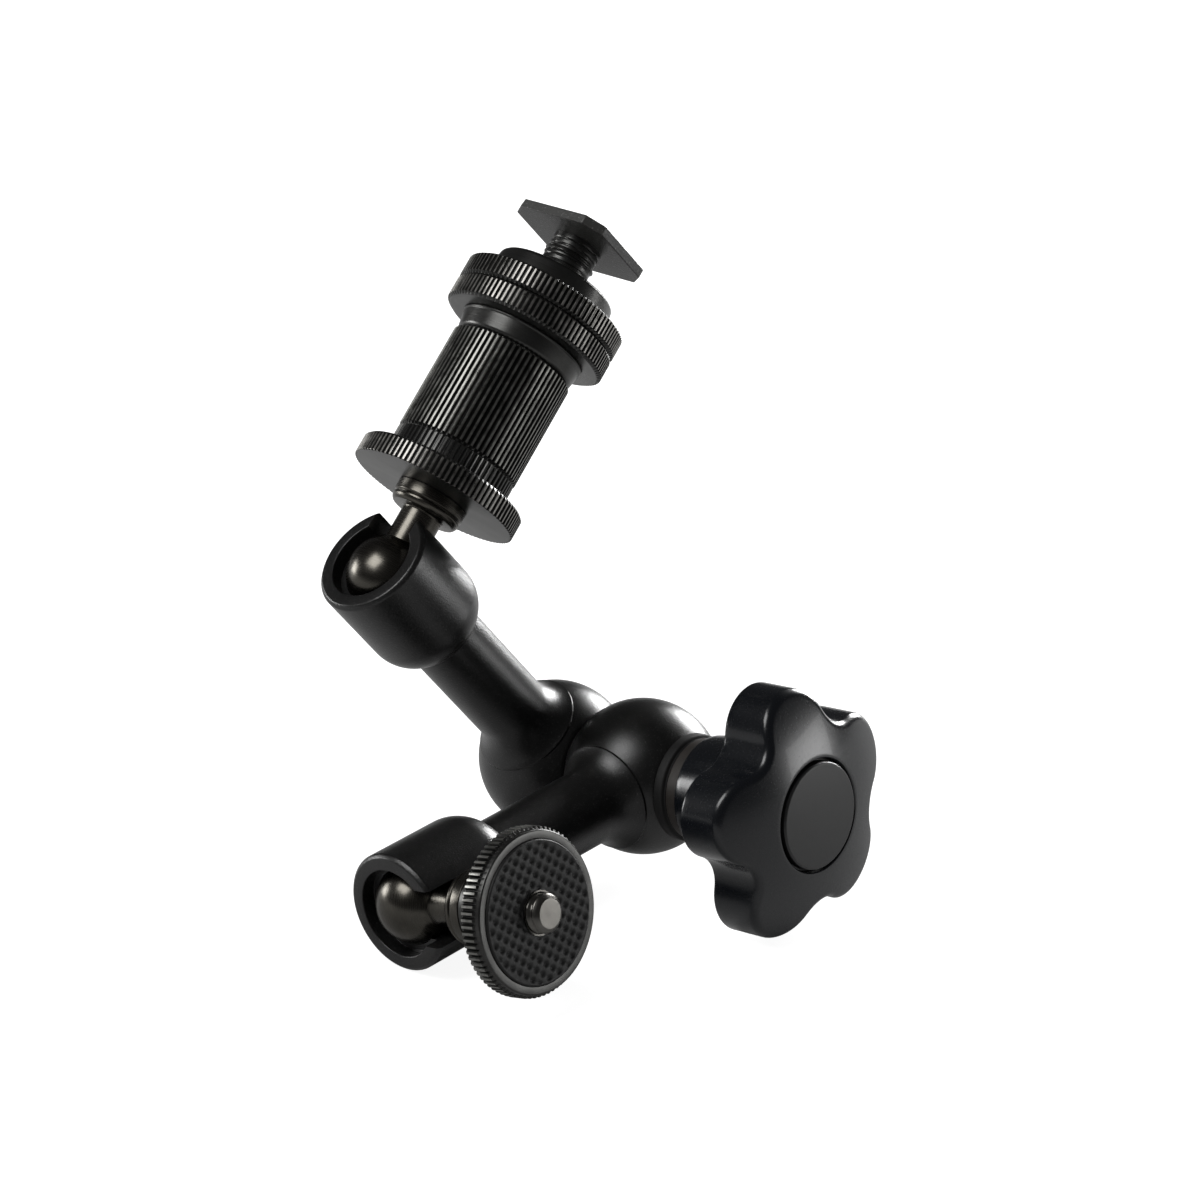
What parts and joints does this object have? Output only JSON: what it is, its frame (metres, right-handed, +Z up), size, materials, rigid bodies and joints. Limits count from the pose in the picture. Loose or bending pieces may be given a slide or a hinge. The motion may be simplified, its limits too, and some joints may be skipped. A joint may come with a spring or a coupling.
{
  "type": "articulating friction arm",
  "caption": "Articulating friction arm with a star knob at its pivot, a ball stud at each end, a hot shoe foot and a padded screw disc.",
  "frame": {"origin": "centre of the overall box, at the height of the table that the arm lies on", "axes": "+Z up from the table, +X to the right as seen from the front, +Y away from the viewer"},
  "size_m": [0.0906, 0.0996, 0.1072],
  "materials": {
    "arm_black": "satin",
    "ring_black": "satin",
    "dark_steel": "burnished",
    "steel": "satin",
    "brass": "satin",
    "knob_plastic": "gloss",
    "cap_plastic": "gloss",
    "washer_black": "matt",
    "sleeve_brown": "matt",
    "shoe_grey": "satin",
    "pad_rubber": "matt"
  },
  "bodies": {
    "first_arm": {"arm_a": "arm_black", "socket_cup_a": "arm_black", "push_rod_a": "steel", "wedge_cone_a": "steel", "draw_bolt": "steel", "end_plug": "washer_black", "thrust_washer": "washer_black"},
    "second_arm": {"arm_b": "arm_black", "socket_cup_b": "arm_black", "push_rod_b": "steel", "wedge_cone_b": "steel"},
    "sleeve": {"knob_sleeve": "sleeve_brown", "knob_washer": "washer_black"},
    "knob_body": {"knob": "knob_plastic", "knob_insert": "brass", "knob_cap": "cap_plastic"},
    "seat_a": {"ball_seat_a": "brass"},
    "stud_a": {"ball_stud_a": "dark_steel"},
    "disc_a": {"locking_disc_a": "ring_black"},
    "barrel": {"knurled_barrel": "ring_black", "shoe_stud": "dark_steel", "shoe_plate": "shoe_grey"},
    "lower_ring": {"lower_ring_nut": "ring_black"},
    "upper_ring": {"upper_ring_nut": "ring_black"},
    "seat_b": {"ball_seat_b": "brass"},
    "stud_b": {"ball_stud_b": "dark_steel"},
    "disc_b": {"locking_disc_b": "ring_black", "rubber_pad": "pad_rubber", "pad_washer": "steel"}
  },
  "joints": [
    {"name": "arm_pivot", "type": "hinge", "parent": "first_arm", "child": "second_arm", "pos_m": [0.00091, 0.02276, 0.01445], "axis": [0.7274, -0.6707, 0.1447], "range_deg": [-25, 120]},
    {"name": "knob_travel", "type": "slide", "parent": "first_arm", "child": "sleeve", "axis": [0.7274, -0.6707, 0.1447], "range_m": [0, 0.0025]},
    {"name": "knob_turn", "type": "hinge", "parent": "sleeve", "child": "knob_body", "pos_m": [0.00091, 0.02276, 0.01445], "axis": [0.7274, -0.6707, 0.1447], "range_deg": [0, 720]},
    {"name": "ball_a_turn", "type": "hinge", "parent": "first_arm", "child": "seat_a", "pos_m": [-0.03471, 0.00738, 0.05246], "axis": [-0.5298, -0.415, 0.7397], "range_deg": [-1.58, 10.42]},
    {"name": "ball_a_lean", "type": "hinge", "parent": "seat_a", "child": "stud_a", "pos_m": [-0.03471, 0.00738, 0.05246], "axis": [-0.6831, 0.7257, -0.082], "range_deg": [-113, 9.31]},
    {"name": "disc_a_turn", "type": "hinge", "parent": "stud_a", "child": "disc_a", "pos_m": [-0.03471, 0.00738, 0.05246], "axis": [0.4415, 0.4998, 0.7452], "continuous": true},
    {"name": "barrel_turn", "type": "hinge", "parent": "stud_a", "child": "barrel", "pos_m": [-0.03471, 0.00738, 0.05246], "axis": [0.4415, 0.4998, 0.7452], "continuous": true},
    {"name": "lower_ring_turn", "type": "hinge", "parent": "barrel", "child": "lower_ring", "pos_m": [-0.03471, 0.00738, 0.05246], "axis": [0.4415, 0.4998, 0.7452], "continuous": true},
    {"name": "upper_ring_turn", "type": "hinge", "parent": "barrel", "child": "upper_ring", "pos_m": [-0.03471, 0.00738, 0.05246], "axis": [0.4415, 0.4998, 0.7452], "continuous": true},
    {"name": "ball_b_turn", "type": "hinge", "parent": "second_arm", "child": "seat_b", "pos_m": [-0.02709, -0.02358, 0.01021], "axis": [-0.6624, -0.7415, -0.107], "range_deg": [-9.27, 2.73]},
    {"name": "ball_b_lean", "type": "hinge", "parent": "seat_b", "child": "stud_b", "pos_m": [-0.02709, -0.02358, 0.01021], "axis": [-0.2697, 0.1027, 0.9575], "range_deg": [-121, 1.26]},
    {"name": "disc_b_turn", "type": "hinge", "parent": "stud_b", "child": "disc_b", "pos_m": [-0.02709, -0.02358, 0.01021], "axis": [0.7187, -0.6402, 0.2712], "continuous": true}
  ],
  "couplings": [
    {"joint": "knob_travel", "follows": "knob_turn", "m_per_rad": 0.00019894}
  ]
}
